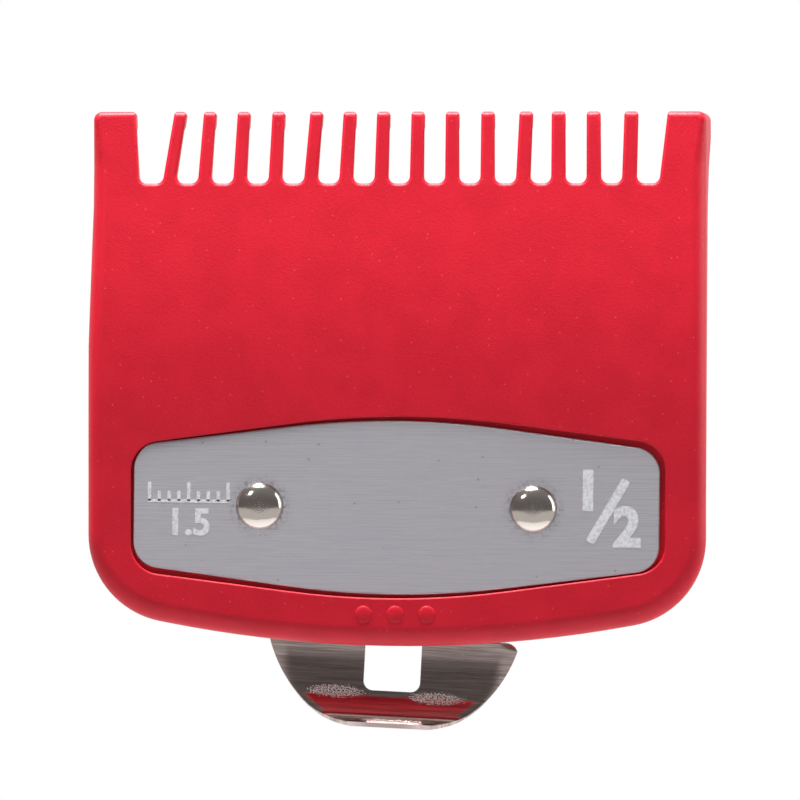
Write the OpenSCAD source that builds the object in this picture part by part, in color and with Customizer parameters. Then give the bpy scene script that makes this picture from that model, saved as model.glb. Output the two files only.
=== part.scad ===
// Clipper guard comb: a moulded comb that snaps over a clipper's fixed blade.
//
// Frame: X to the right, Y from the outer face towards the blade, Z towards the tooth tips.
// The origin lies on the blade seat (the plane Y = 0), half way up the moulding.

/* [Comb] */
// Width of the moulding at its middle
comb_w = 48.8; // [48.4:0.1:50]
// Height of the moulding, from the bottom of its lower edge to the tooth tips
comb_h = 42.2; // [41:0.2:44]
// Thickness of the panel behind the badge plate
panel_t = 4; // [3.6:0.1:4.4]
// Thickness of the teeth, which is the length that the hair is cut to
cut_t = 1.5; // [1.2:0.1:2]
// Height above the lower edge at which the panel starts to bend towards the teeth
bend_start = 17; // [16.5:0.1:17.5]
// Radius of the panel's bend
bend_r = 108; // [80:1:110]
// Radius of the two lower corners
corner_r = 7.1; // [6:0.1:8]
// Radius of the bowed lower edge
bottom_r = 100; // [90:1:140]

/* [Teeth] */
// Number of thin teeth between the two lobes
tooth_count = 14; // [14:1:14]
// Distance from one tooth to the next
tooth_pitch = 2.8; // [2.7:0.01:2.81]
// Width of a tooth at its root
tooth_root_w = 1.12; // [0.9:0.02:1.3]
// Width of a tooth at its tip
tooth_tip_w = 1.06; // [0.8:0.02:1.1]
// Depth of the gaps between the teeth
tooth_len = 5.7; // [5:0.1:6.5]
// Radius in the two corners of each gap's floor
gap_r = 0.6; // [0.3:0.05:0.7]
// Width of a lobe at its root
lobe_w = 3.85; // [3.6:0.05:3.9]
// Height of the hooks behind the tooth tips, along the teeth
hook_len = 1.5; // [1:0.1:2]
// How far the hooks stand above the blade seat
hook_h = 1.6; // [1:0.1:2.4]

/* [Side walls] */
// Thickness of the two side walls
wall_t = 1.2; // [1:0.1:1.4]
// Height of the side walls above the blade seat
wall_h = 2.6; // [2:0.1:3]
// Height of the wings beside the lobes, above the blade seat
wing_h = 5.2; // [4.8:0.1:6]
// Height of the flap that closes the back of each lobe, along the teeth
flap_len = 3.5; // [3:0.1:4.5]
// Thickness of the flap
flap_t = 1.5; // [1:0.1:1.6]

/* [Badge plate] */
// Width of the plate
plate_w = 41.6; // [40:0.1:42]
// Height of the plate at its middle
plate_h = 13.74; // [13:0.02:14]
// Slope of the plate's four straight flanks
plate_flank = 7.4; // [6.6:0.1:8]
// Thickness of the plate
plate_t = 0.5; // [0.4:0.05:0.6]
// Radius of the four corners
plate_corner_r = 2.1; // [1.5:0.1:2.4]
// Radius of the plate's crown
plate_crown_r = 66; // [50:1:70]
// Turn of the plate in its recess, clockwise when seen from outside
plate_turn = 0.6; // [-1:0.1:1]
// Gap between the plate and the recess's side
recess_gap = 0.28; // [0.2:0.02:0.4]
// Depth of the recess
recess_d = 0.6; // [0.5:0.05:0.7]

/* [Rivets] */
// Distance between the two rivets
rivet_spacing = 21.6; // [20:0.1:23]
// Diameter of the domed head
rivet_head_d = 3.65; // [3:0.05:4.2]
// Height of the domed head
rivet_head_h = 0.9; // [0.6:0.05:1.1]
// Diameter of the shank
rivet_shank_d = 2.2; // [1.8:0.1:2.6]
// Diameter of the formed tail
rivet_tail_d = 3.3; // [3:0.1:4]
// Height of the formed tail
rivet_tail_h = 0.5; // [0.3:0.05:0.6]
// Diameter of the rivet holes
rivet_hole_d = 2.3; // [2.3:0.05:2.8]

/* [Spring clip] */
// Thickness of the spring steel sheet
sheet_t = 0.4; // [0.3:0.05:0.45]
// Turn of the clip on its rivets, clockwise when seen from outside
clip_turn = 3; // [-3:0.5:3]
// Width of the riveted base
base_w = 28.5; // [27:0.5:29.5]
// Width of the riser and the catch
riser_w = 15; // [13:0.5:16]
// Width of the window between the two legs
window_w = 4.5; // [4:0.1:5]
// Depth of the pocket for the clip's base, below the blade seat
pocket_d = 1.1; // [1:0.05:1.15]

/* [Hidden] */

tiny = 0.01;

// Heights of the moulding's features along Z.
bottom_z = -comb_h / 2;
tip_z = comb_h / 2;
root_z = tip_z - tooth_len;
hook_z = tip_z - hook_len;
flap_z = tip_z - flap_len;
wall_low_z = bottom_z + 9;
wing_z = tip_z - 7.4;

half_w = comb_w / 2;
// The left side is drawn in a little from the middle up to the lobe, as it sets in the mould.
left_draw = 0.33;
// The lower edge sits a little askew: its left end is higher, and its right end lower, by this much.
foot_skew = 0.2;
// The arcs of the lower edge are a little small, because the skew leaves them less room.
foot_fit = 0.98;
// Draft of the two sides, narrower towards the blade.
side_draft = 1;

// The bowed lower edge meets the two round corners at this slope.
bow_slope = asin((half_w - corner_r) / (bottom_r - corner_r));
bow_apex_z = bottom_z - bottom_r * (1 / cos(bow_slope) - 1);
bow_end_z = bow_apex_z + half_w * tan(bow_slope);

// The panel's outer face runs straight, bends, then runs straight again to the tips.
bend_z = bottom_z + bend_start;
// Slope of the straight stretch that leaves the bend and ends at the tips, cut_t in front of the seat.
reach = [bend_r - panel_t + cut_t, tip_z - bend_z];
panel_slope = atan2(reach[1], reach[0]) - acos(min(1, bend_r / norm(reach)));
bend_apex_z = bend_z + bend_r * tan(panel_slope / 2);

// Teeth: the row's middle, and how far each tip leans to the right of its root.
row_x = 0.13;
tooth_lean = [0.89, 0.42, 0.3, 0.25, 0.46, 0.3, 0.15, 0.08, 0, 0.01, 0.24, -0.01, -0.04, 0.15];
// How far the inner edge of each lobe leans from its root to its tip.
left_lobe_lean = -0.33;
right_lobe_lean = 0.67;

// The badge plate's middle, which is also the middle of the two rivets.
plate_x = 0;
plate_z = -10.19;
recess_x = 0.12;
plate_front = -panel_t + recess_d - plate_t;

// The clip's own frame has its origin between its two rivet holes, and a little below them.
clip_x = 0.02;
clip_z = -10.34;
clip_y = -pocket_d + sheet_t / 2;
base_top = 5.4;
base_shoulder = -5.3;
base_bottom = -8.3;
split_gap = 0.1;
base_corner_r = 2;
// Play of the clip's base in its pocket, all round.
pocket_gap = 0.8;
// Top of the riser's channel, in the clip's own frame, and how much deeper it is than the pocket.
channel_z = -7.7;
channel_d = 0.6;
// Depth of the relief in the seat under each flap.
relief_d = 0.2;
// How far the inner edge of each flap is set back from the lobe's own inner edge.
flap_set = 0.6;

// The pressed lever from the base to the lip: rows of [straight run, bend angle, bend radius].
// A positive bend turns away from the outer face, and radii are to the middle of the sheet.
lever_bends = [
    [0, 96, 0.9],
    [1.3, 54, 0.9],
    [0.25, -140, 0.85],
    [0.35, -18, 18],
    [0.1, -14, 1.2],
    [1.35, -42, 1.4],
    [0.25, 0, 1]
];

// Outline of the lever's wings, in the clip's own frame.
wing_top = -10.2;
wing_corner_r = 1;
wing_side_r = 11.6;
wing_side_x = 1.2;
wing_side_z = -7.5;
lip_r = 23;
lip_z = -17.45;
window_top = -9.2;
window_bottom = -14.52;
window_corner_r = 0.75;

// ---- Helpers ----

// Angle of one step along an arc, so that the chord stays within 0.008 mm of it.
function arc_step(r) = min(15, 2 * acos(1 - 0.008 / max(r, 0.1)));

function unit(v) = v / norm(v);
function side_of(v) = sign(v[0][0] * v[1][1] - v[0][1] * v[1][0]);

// Points of the arc that rounds corner b, between the neighbouring corners a and c.
function corner_arc(a, b, c, r) =
    let(
        back = unit(a - b),
        ahead = unit(c - b),
        half = acos(back * ahead) / 2,
        centre = b + unit(back + ahead) * r / sin(half),
        start = b + back * r / tan(half),
        turn = 180 - 2 * half,
        steps = max(3, ceil(turn / arc_step(r))),
        way = side_of([-back, ahead]),
        arm = start - centre
    )
    [for (i = [0:steps])
        let(t = way * turn * i / steps)
        centre + [arm[0] * cos(t) - arm[1] * sin(t), arm[0] * sin(t) + arm[1] * cos(t)]];

// Outline with rounded corners, from a list of [x, y, corner radius].
function rounded(corners) =
    let(n = len(corners))
    [for (i = [0:n - 1])
        let(
            a = corners[(i + n - 1) % n],
            b = corners[i],
            c = corners[(i + 1) % n]
        )
        each b[2] > 0
            ? corner_arc([a[0], a[1]], [b[0], b[1]], [c[0], c[1]], b[2])
            : [[b[0], b[1]]]];

// Stations [y, z, heading] along the middle of a bent sheet.
function bent_path(bends, y, z, heading, i = 0) =
    i == len(bends) ? [[y, z, heading]] :
    let(
        run = bends[i][0],
        turn = bends[i][1],
        r = bends[i][2],
        y1 = y + run * cos(heading),
        z1 = z + run * sin(heading),
        way = turn < 0 ? -1 : 1,
        cy = y1 - way * r * sin(heading),
        cz = z1 + way * r * cos(heading),
        steps = turn == 0 ? 0 : max(3, ceil(abs(turn) / arc_step(r))),
        arc = [for (k = [1:1:steps - 1])
            let(a = heading + turn * k / steps)
            [cy + way * r * sin(a), cz - way * r * cos(a), a]],
        last = heading + turn,
        y2 = turn == 0 ? y1 : cy + way * r * sin(last),
        z2 = turn == 0 ? z1 : cz - way * r * cos(last)
    )
    concat([[y, z, heading]], run > 0 && turn != 0 ? [[y1, z1, heading]] : [], arc,
        bent_path(bends, y2, z2, last, i + 1));

// Outline of a sheet of thickness t whose middle follows the path.
function sheet_outline(path, t) = concat(
    [for (s = path) [s[0] - t / 2 * sin(s[2]), s[1] + t / 2 * cos(s[2])]],
    [for (i = [len(path) - 1:-1:0]) [path[i][0] + t / 2 * sin(path[i][2]), path[i][1] - t / 2 * cos(path[i][2])]]
);

// A prism of an X-Z outline, from y_front to y_back.
module front_prism(y_front, y_back) {
    translate([0, y_back, 0])
        rotate([90, 0, 0])
            linear_extrude(height = y_back - y_front)
                children();
}

// A prism of a Y-Z outline, from x_left to x_right.
module side_prism(x_left, x_right) {
    translate([x_left, 0, 0])
        rotate([90, 0, 90])
            linear_extrude(height = x_right - x_left)
                children();
}

// ---- Comb ----

// Outline of the moulding without its gaps.
module comb_outline() {
    polygon(rounded([
        [-half_w + left_draw, tip_z, 0],
        [-half_w + left_draw, wing_z, 0],
        [-half_w, wing_z - 11, 0],
        [-half_w, bow_end_z + foot_skew, foot_fit * corner_r],
        [0, bow_apex_z, foot_fit * bottom_r],
        [half_w, bow_end_z - foot_skew, foot_fit * corner_r],
        [half_w, tip_z, 0]
    ]));
}

// Root and tip of the line down the middle of tooth i.
function tooth_root_x(i) = row_x + (i - (tooth_count - 1) / 2) * tooth_pitch;
function tooth_tip_x(i) = tooth_root_x(i) + tooth_lean[i];

// Edges of gap i, which lies to the left of tooth i: [root left, root right, tip right, tip left].
function gap_edges(i) = [
    i == 0 ? row_x - half_w + lobe_w : tooth_root_x(i - 1) + tooth_root_w / 2,
    i == tooth_count ? row_x + half_w - lobe_w : tooth_root_x(i) - tooth_root_w / 2,
    i == tooth_count ? row_x + half_w - lobe_w + right_lobe_lean : tooth_tip_x(i) - tooth_tip_w / 2,
    i == 0 ? row_x - half_w + lobe_w + left_lobe_lean : tooth_tip_x(i - 1) + tooth_tip_w / 2
];

// Outline of one gap, open at the top.
module gap_outline(i) {
    e = gap_edges(i);
    polygon(rounded([
        [e[0], root_z, gap_r],
        [e[1], root_z, gap_r],
        [e[2], tip_z, 0],
        [e[2], tip_z + 1, 0],
        [e[3], tip_z + 1, 0],
        [e[3], tip_z, 0]
    ]));
}

// Section of the panel and the teeth, below the blade seat.
module panel_section() {
    polygon(rounded([
        [0, bottom_z - 1, 0],
        [-panel_t, bottom_z - 1, 0],
        [-panel_t, bend_apex_z, bend_r],
        [-panel_t + (tip_z + 1 - bend_apex_z) * tan(panel_slope), tip_z + 1, 0],
        [0, tip_z + 1, 0]
    ]));
}

// Section of the hooks that stop the blade's tips.
module hook_section() {
    polygon([
        [-tiny, hook_z],
        [0, hook_z],
        [hook_h, hook_z + 0.4],
        [hook_h, tip_z + 1],
        [-tiny, tip_z + 1]
    ]);
}

// Section of a side wall, which rises into the wing beside the lobe.
module wall_section() {
    polygon(rounded([
        [-tiny, wall_low_z, 0],
        [wall_h, wall_low_z, 1.6],
        [wall_h, wing_z, 4],
        [wing_h, wing_z + 3.6, 2],
        [wing_h, tip_z, 0],
        [-tiny, tip_z, 0]
    ]));
}

// Section of the flap and cap that hold a corner of the blade.
module flap_section() {
    polygon([
        [-tiny, hook_z + 0.4],
        [wing_h - flap_t, hook_z + 0.4],
        [wing_h - flap_t, flap_z + 0.3],
        [wing_h - flap_t + 0.4, flap_z],
        [wing_h, flap_z],
        [wing_h, tip_z],
        [-tiny, tip_z]
    ]);
}

// Outline of the pocket inside the panel, a gap larger than the clip's base.
module pocket_outline() {
    wide = base_w / 2 + pocket_gap;
    narrow = riser_w / 2 + pocket_gap;
    polygon(rounded([
        [-narrow, channel_z, 0],
        [narrow, channel_z, 0],
        [narrow, base_shoulder - pocket_gap, 0.8],
        [wide, base_shoulder - pocket_gap, base_corner_r],
        [wide, base_top + pocket_gap, base_corner_r],
        [-wide, base_top + pocket_gap, base_corner_r],
        [-wide, base_shoulder - pocket_gap, base_corner_r],
        [-narrow, base_shoulder - pocket_gap, 0.8]
    ]));
}

// Shared outline of the badge plate and its recess, grown by a gap.
module plate_outline(gap) {
    apex = plate_h / 2 + gap + plate_crown_r * (1 / cos(plate_flank) - 1);
    end_x = plate_w / 2 + gap;
    end_z = apex - end_x * tan(plate_flank);
    polygon(rounded([
        [-end_x, -end_z, plate_corner_r + gap],
        [0, -apex, plate_crown_r],
        [end_x, -end_z, plate_corner_r + gap],
        [end_x, end_z, plate_corner_r + gap],
        [0, apex, plate_crown_r],
        [-end_x, end_z, plate_corner_r + gap]
    ]));
}

// Puts its children in the badge plate's own frame.
module at_plate() {
    translate([plate_x, 0, plate_z])
        rotate([0, plate_turn, 0])
            children();
}

// Two holes for the rivets, through everything between y_front and y_back.
module rivet_holes(y_front, y_back) {
    at_plate()
        for (side = [-1, 1])
            translate([side * rivet_spacing / 2, y_front, 0])
                rotate([-90, 0, 0])
                    cylinder(d = rivet_hole_d, h = y_back - y_front, $fn = 48);
}

// Block between the two drafted sides.
module drafted_block() {
    in_front = half_w;
    behind = half_w - (wing_h + panel_t) * tan(side_draft);
    translate([0, 0, bottom_z - 1])
        linear_extrude(height = comb_h + 2)
            polygon([[-in_front, -panel_t], [in_front, -panel_t], [behind, wing_h], [-behind, wing_h]]);
}

module comb_body() {
    color([0.86, 0.13, 0.18])
    difference() {
        intersection() {
            front_prism(-panel_t - 1, wing_h + 1)
                difference() {
                    comb_outline();
                    for (i = [0:tooth_count])
                        gap_outline(i);
                }
            drafted_block();
            union() {
                side_prism(-half_w - 1, half_w + 1)
                    panel_section();
                side_prism(-half_w - 1, half_w + 1)
                    hook_section();
                for (side = [-1, 1]) {
                    x_mid = side * (half_w - wall_t / 2 + 0.5);
                    side_prism(x_mid - wall_t / 2 - 0.5, x_mid + wall_t / 2 + 0.5)
                        wall_section();
                    x_flap = side * (half_w - (lobe_w - flap_set) / 2 + 0.5);
                    side_prism(x_flap - (lobe_w - flap_set) / 2 - 0.5, x_flap + (lobe_w - flap_set) / 2 + 0.5)
                        flap_section();
                }
            }
        }
        // Recess for the badge plate.
        translate([recess_x, 0, plate_z])
            front_prism(-panel_t - 1, -panel_t + recess_d)
                plate_outline(recess_gap);
        rivet_holes(-panel_t - 1, 1);
        // Pocket for the clip's base.
        translate([clip_x, 0, clip_z])
            front_prism(-pocket_d, 1)
                pocket_outline();
        // Deeper channel where the riser bends, open at the lower edge.
        translate([clip_x - riser_w / 2 - pocket_gap, -pocket_d - channel_d, bottom_z - 1])
            cube([riser_w + 2 * pocket_gap, pocket_d + channel_d + 1, clip_z + channel_z - bottom_z + 1]);
        // Relief under each flap.
        for (side = [-1, 1])
            translate([side * (half_w - wall_t - lobe_w / 2), 0, flap_z + (flap_len - hook_len) / 2])
                cube([lobe_w, 2 * relief_d, flap_len - hook_len + 0.7], center = true);
    }
}

// ---- Badge plate and rivets ----

module badge_plate() {
    color([0.72, 0.72, 0.75])
    difference() {
        at_plate()
            front_prism(plate_front, plate_front + plate_t)
                plate_outline(0);
        rivet_holes(plate_front - 1, plate_front + plate_t + 1);
    }
}

// One rivet: side is -1 for the left one and 1 for the right one.
module rivet(side) {
    tail_front = clip_y + sheet_t / 2;
    dome_r = (rivet_head_d * rivet_head_d / 4 + rivet_head_h * rivet_head_h) / (2 * rivet_head_h);
    color([0.8, 0.78, 0.76])
    at_plate()
        translate([side * rivet_spacing / 2, 0, 0]) {
            // Domed head on the plate.
            intersection() {
                translate([0, plate_front - rivet_head_h + dome_r, 0])
                    rotate([-90, 0, 0])
                        sphere(r = dome_r, $fn = 96);
                translate([0, plate_front - rivet_head_h, 0])
                    rotate([-90, 0, 0])
                        cylinder(d = rivet_head_d + 1, h = rivet_head_h, $fn = 64);
            }
            translate([0, plate_front - rivet_head_h / 2, 0])
                rotate([-90, 0, 0])
                    cylinder(d = rivet_shank_d, h = tail_front - plate_front + rivet_head_h / 2 + tiny, $fn = 48);
            // Formed tail on the clip's base.
            translate([0, tail_front, 0])
                rotate([-90, 0, 0])
                    cylinder(d1 = rivet_tail_d, d2 = rivet_tail_d - 0.6, h = rivet_tail_h, $fn = 48);
        }
}

module rivet_left() {
    rivet(-1);
}

module rivet_right() {
    rivet(1);
}

// ---- Spring clip ----

// Puts its children in the clip's own frame.
module at_clip() {
    translate([clip_x, 0, clip_z])
        rotate([0, clip_turn, 0])
            children();
}

module clip_base() {
    color([0.62, 0.6, 0.6])
    difference() {
        at_clip()
            front_prism(clip_y - sheet_t / 2, clip_y + sheet_t / 2)
                polygon(rounded([
                    [-base_w / 2, base_top, base_corner_r],
                    [-base_w / 2, base_shoulder, base_corner_r],
                    [-riser_w / 2, base_shoulder, 0.6],
                    [-riser_w / 2, base_bottom, 0],
                    [riser_w / 2, base_bottom, 0],
                    [riser_w / 2, base_shoulder, 0.6],
                    [base_w / 2, base_shoulder, base_corner_r],
                    [base_w / 2, base_top, base_corner_r]
                ]));
        rivet_holes(-panel_t, 1);
    }
}

// Outline of the lever: the riser's width above, wings and lip below, window in the middle.
module lever_outline() {
    difference() {
        union() {
            translate([-riser_w / 2, wing_top - 1])
                square([riser_w, base_bottom - wing_top + 4]);
            intersection() {
                translate([-wing_side_x, wing_side_z])
                    circle(r = wing_side_r, $fn = 240);
                translate([wing_side_x, wing_side_z])
                    circle(r = wing_side_r, $fn = 240);
                translate([0, lip_z + lip_r])
                    circle(r = lip_r, $fn = 360);
                polygon(rounded([
                    [-9.92, wing_top, wing_corner_r],
                    [-9.92, lip_z - 1, 0],
                    [9.92, lip_z - 1, 0],
                    [9.92, wing_top, wing_corner_r]
                ]));
            }
        }
        polygon(rounded([
            [-window_w / 2, window_top, window_corner_r],
            [-window_w / 2, window_bottom, window_corner_r],
            [window_w / 2, window_bottom, window_corner_r],
            [window_w / 2, window_top, window_corner_r]
        ]));
    }
}

module clip_lever() {
    path = bent_path(lever_bends, clip_y, base_bottom - split_gap, -90);
    color([0.66, 0.63, 0.62])
    at_clip()
        intersection() {
            side_prism(-12, 12)
                polygon(sheet_outline(path, sheet_t));
            front_prism(clip_y - 2, 12)
                lever_outline();
        }
}

comb_body();
badge_plate();
rivet_left();
rivet_right();
clip_base();
clip_lever();
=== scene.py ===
"""Clipper guard comb: the looks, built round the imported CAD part, in metres and in its frame.

X runs to the right, Y from the outer face towards the clipper's blade, and Z towards the tooth tips. Sizes
in the classes are in millimetres. They match the CAD part, except where a comment says looks only.
"""

import logging
import math
from collections.abc import Callable, Sequence
from dataclasses import dataclass
from enum import Enum
from functools import partial

import bpy
from bpy.types import Material, NodeSocket, NodeTree, Object
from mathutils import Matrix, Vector


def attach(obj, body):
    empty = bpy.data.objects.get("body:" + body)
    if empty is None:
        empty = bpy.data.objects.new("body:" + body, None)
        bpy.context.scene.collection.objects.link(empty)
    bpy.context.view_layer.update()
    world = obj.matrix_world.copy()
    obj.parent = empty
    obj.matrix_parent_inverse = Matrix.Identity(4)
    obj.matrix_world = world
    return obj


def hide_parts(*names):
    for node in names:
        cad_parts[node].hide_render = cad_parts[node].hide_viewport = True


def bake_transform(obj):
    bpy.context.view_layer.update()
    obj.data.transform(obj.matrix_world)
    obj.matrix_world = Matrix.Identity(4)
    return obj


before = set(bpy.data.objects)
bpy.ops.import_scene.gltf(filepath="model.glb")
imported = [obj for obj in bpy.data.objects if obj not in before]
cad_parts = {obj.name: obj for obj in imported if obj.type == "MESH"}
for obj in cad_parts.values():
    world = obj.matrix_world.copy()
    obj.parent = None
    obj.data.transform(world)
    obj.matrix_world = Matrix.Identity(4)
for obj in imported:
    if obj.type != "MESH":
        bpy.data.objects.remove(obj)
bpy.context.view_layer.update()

LOG = logging.getLogger("guard_comb")
MM = 0.001
MICRON = 1e-6
# The widest step along an arc, in radians.
WIDEST_STEP = 0.26
# Settings that many nodes share: a range eased at both ends, a scale that is the pattern's own size, and
# a mix of two colours.
EASED = {"interpolation_type": "SMOOTHSTEP"}
SIZED = {"vector_type": "TEXTURE"}
COLOURS = {"data_type": "RGBA"}

Point = tuple[float, float]
Ring = list[Vector]


class Slot(Enum):
    """The record's material slots."""

    PLASTIC = "moulded_plastic"
    PLATE = "brushed_plate"
    RIVET = "rivet_nickel"
    SPRING = "spring_steel"


class Side(Enum):
    """The two ends of the badge plate, as the sign of X."""

    LEFT = -1
    RIGHT = 1


# ---- Outlines ----


def rounded(corners: Sequence[tuple[float, float, float]], sag: float = 0.005) -> list[Point]:
    """Round the corners of an outline.

    Args:
        corners: The outline's corners, each with its radius.
        sag: How far a chord may stand off its arc.

    Returns:
        The outline's points, in the corners' order.
    """
    points: list[Point] = []
    for i, (x, z, r) in enumerate(corners):
        if r <= 0:
            points.append((x, z))
            continue
        before, after = Vector(corners[i - 1][:2]), Vector(corners[(i + 1) % len(corners)][:2])
        here = Vector((x, z))
        back, ahead = (before - here).normalized(), (after - here).normalized()
        half = back.angle(ahead) / 2
        centre = here + (back + ahead).normalized() * (r / math.sin(half))
        arm = here + back * (r / math.tan(half)) - centre
        turn = math.pi - 2 * half
        way = 1 if back.x * ahead.y - back.y * ahead.x < 0 else -1
        finest = 2 * math.acos(1 - sag / max(r, 0.1))
        steps = max(3, math.ceil(turn / min(WIDEST_STEP, finest)))
        for k in range(steps + 1):
            a = way * turn * k / steps
            c, s = math.cos(a), math.sin(a)
            points.append((centre.x + arm.x * c - arm.y * s, centre.y + arm.x * s + arm.y * c))
    return points


def circle(radius: float, count: int) -> list[Point]:
    """Points of a circle about the origin."""
    turns = [k * math.tau / count for k in range(count)]
    return [(radius * math.cos(a), radius * math.sin(a)) for a in turns]


def rounding(steps: int, degrees: float = 90.0) -> list[Point]:
    """Step round an edge of radius 1: how far in each step is, and how far it is from the end."""
    turns = [math.radians(degrees * k / steps) for k in range(steps + 1)]
    return [(1 - math.cos(a), 1 - math.sin(a)) for a in turns]


def grown(points: Sequence[Point], amounts: float | Sequence[float]) -> list[Point]:
    """Grow an outline outwards.

    Args:
        points: The outline.
        amounts: How far each point moves, or all of them; below zero they move inwards.

    Returns:
        The moved points.
    """
    count = len(points)
    area = sum(points[i - 1][0] * points[i][1] - points[i][0] * points[i - 1][1] for i in range(count))
    way = 1 if area > 0 else -1
    moved: list[Point] = []
    for i, (x, z) in enumerate(points):
        far = amounts if isinstance(amounts, (int, float)) else amounts[i]
        before, after = Vector(points[i - 1]), Vector(points[(i + 1) % count])
        along_a, along_b = (Vector((x, z)) - before).normalized(), (after - Vector((x, z))).normalized()
        normal_a, normal_b = Vector((along_a.y, -along_a.x)), Vector((along_b.y, -along_b.x))
        middle = (normal_a + normal_b).normalized()
        reach = far * way / max(0.4, middle.dot(normal_a))
        moved.append((x + middle.x * reach, z + middle.y * reach))
    return moved


@dataclass(frozen=True)
class Place:
    """Where a flat outline lies on the comb: its middle, and its clockwise turn seen from outside."""

    x: float = 0.0
    z: float = 0.0
    turn: float = 0.0

    def put(self, point: Point, y: float) -> Vector:
        """Take a point of the outline, at a depth y, to the comb's frame in metres."""
        c, s = math.cos(math.radians(self.turn)), math.sin(math.radians(self.turn))
        x, z = point
        return Vector((self.x + x * c + z * s, y, self.z - x * s + z * c)) * MM

    def ring(self, points: Sequence[Point], y: float | Sequence[float]) -> Ring:
        """Take a whole outline to the comb's frame, at one depth or at a depth for each point."""
        return [self.put(p, y if isinstance(y, (int, float)) else y[i]) for i, p in enumerate(points)]


# ---- Modelling, as by hand ----


def deselect_everything() -> None:
    """Leave edit mode and select nothing, because an operator acts on all that is selected."""
    active = bpy.context.view_layer.objects.active
    if active is not None and active.mode != "OBJECT":
        bpy.ops.object.mode_set(mode="OBJECT")
    bpy.ops.object.select_all(action="DESELECT")


def pick(piece: Object) -> None:
    """Select one piece alone and make it the active one."""
    deselect_everything()
    piece.select_set(True)
    bpy.context.view_layer.objects.active = piece


def loft(name: str, rings: Sequence[Ring]) -> Object:
    """Extrude a disc once for each ring, and put its points on the rings.

    Args:
        name: The piece's name.
        rings: The rings, with one count of points for all.

    Returns:
        The closed piece.
    """
    count = len(rings[0])
    deselect_everything()
    bpy.ops.mesh.primitive_circle_add(vertices=count, radius=1.0, fill_type="NGON", location=(0, 0, 0))
    piece = bpy.context.object
    piece.name = piece.data.name = name
    bpy.ops.object.mode_set(mode="EDIT")
    bpy.ops.mesh.select_all(action="SELECT")
    for _ in rings[1:]:
        bpy.ops.mesh.extrude_region_move(TRANSFORM_OT_translate={"value": (0, 0, 1)})
    bpy.ops.object.mode_set(mode="OBJECT")
    for vertex in piece.data.vertices:
        turn = math.atan2(-vertex.co.x, vertex.co.y) / (2 * math.pi)
        vertex.co = rings[round(vertex.co.z)][round(turn * count) % count]
    face_outwards(piece)
    return piece


def face_outwards(piece: Object) -> None:
    """Turn every face of a closed piece outwards."""
    pick(piece)
    bpy.ops.object.mode_set(mode="EDIT")
    bpy.ops.mesh.select_all(action="SELECT")
    bpy.ops.mesh.normals_make_consistent(inside=False)
    bpy.ops.object.mode_set(mode="OBJECT")


def apply_modifier(piece: Object, kind: str, **settings: object) -> None:
    """Add one modifier to a piece and apply it.

    Args:
        piece: The piece.
        kind: The modifier's type.
        settings: The modifier's settings.
    """
    pick(piece)
    modifier = piece.modifiers.new(kind.lower(), kind)
    for key, value in settings.items():
        setattr(modifier, key, value)
    bpy.ops.object.modifier_apply(modifier=modifier.name)


def combine(piece: Object, other: Object, operation: str = "DIFFERENCE") -> None:
    """Cut one closed shape out of a piece, or weld it on, and throw the shape away.

    Args:
        piece: The piece that stays.
        other: The shape, which is removed.
        operation: DIFFERENCE or UNION.
    """
    apply_modifier(piece, "BOOLEAN", operation=operation, solver="EXACT", object=other)
    bpy.data.meshes.remove(other.data)


def slice_across(piece: Object, places: Sequence[float], normal: Sequence[float]) -> None:
    """Add an edge right round a piece at each place along a normal.

    Args:
        piece: The piece.
        places: Distances along the normal, in millimetres.
        normal: The cutting planes' normal.
    """
    pick(piece)
    bpy.ops.object.mode_set(mode="EDIT")
    for place in places:
        bpy.ops.mesh.select_all(action="SELECT")
        bpy.ops.mesh.bisect(plane_co=Vector(normal) * place * MM, plane_no=normal, use_fill=False)
    bpy.ops.object.mode_set(mode="OBJECT")


def smooth(piece: Object, degrees: float = 35.0) -> None:
    """Shade a piece smooth up to an angle, with the flat faces kept flat.

    Args:
        piece: The piece.
        degrees: Edges sharper than this stay sharp.
    """
    pick(piece)
    bpy.ops.object.shade_smooth_by_angle(angle=math.radians(degrees))
    apply_modifier(piece, "WEIGHTED_NORMAL", mode="FACE_AREA", weight=100, keep_sharp=True)


def flared(
    place: Place, outline: list[Point], floor_y: float, mouth_y: float, lip: float, draft: float = 0.0
) -> list[Ring]:
    """Make the rings of a cutter that also rounds the lip of the opening it cuts.

    Args:
        place: Where the outline lies.
        outline: The opening's outline.
        floor_y: Depth at which the cutter ends, behind the surface.
        mouth_y: Depth of the surface that it breaks through.
        lip: Radius of the rounded lip.
        draft: Angle, in degrees, at which the opening widens towards the floor.

    Returns:
        The cutter's rings, from the floor to past the mouth.
    """
    rings = [place.ring(grown(outline, (floor_y - mouth_y) * math.tan(math.radians(draft))), floor_y)]
    for inwards, left in rounding(5, 80):
        rings.append(place.ring(grown(outline, lip * inwards), mouth_y + lip * left))
    past_mouth = 1.5
    rings.append(place.ring(grown(outline, lip), mouth_y - past_mouth))
    return rings


# ---- Material nodes ----


def linear(colour: str) -> tuple[float, float, float, float]:
    """Turn an sRGB hex colour into linear RGBA."""
    parts = [int(colour[i : i + 2], 16) / 255 for i in (1, 3, 5)]
    lights = [c / 12.92 if c <= 0.04045 else ((c + 0.055) / 1.055) ** 2.4 for c in parts]
    return lights[0], lights[1], lights[2], 1.0


def in_metres(*sizes: float) -> tuple[float, ...]:
    """Turn sizes along X, Y and Z from millimetres into metres; one size alone holds along all three."""
    return tuple(size * MM for size in (sizes if len(sizes) > 1 else sizes * 3))


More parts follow.
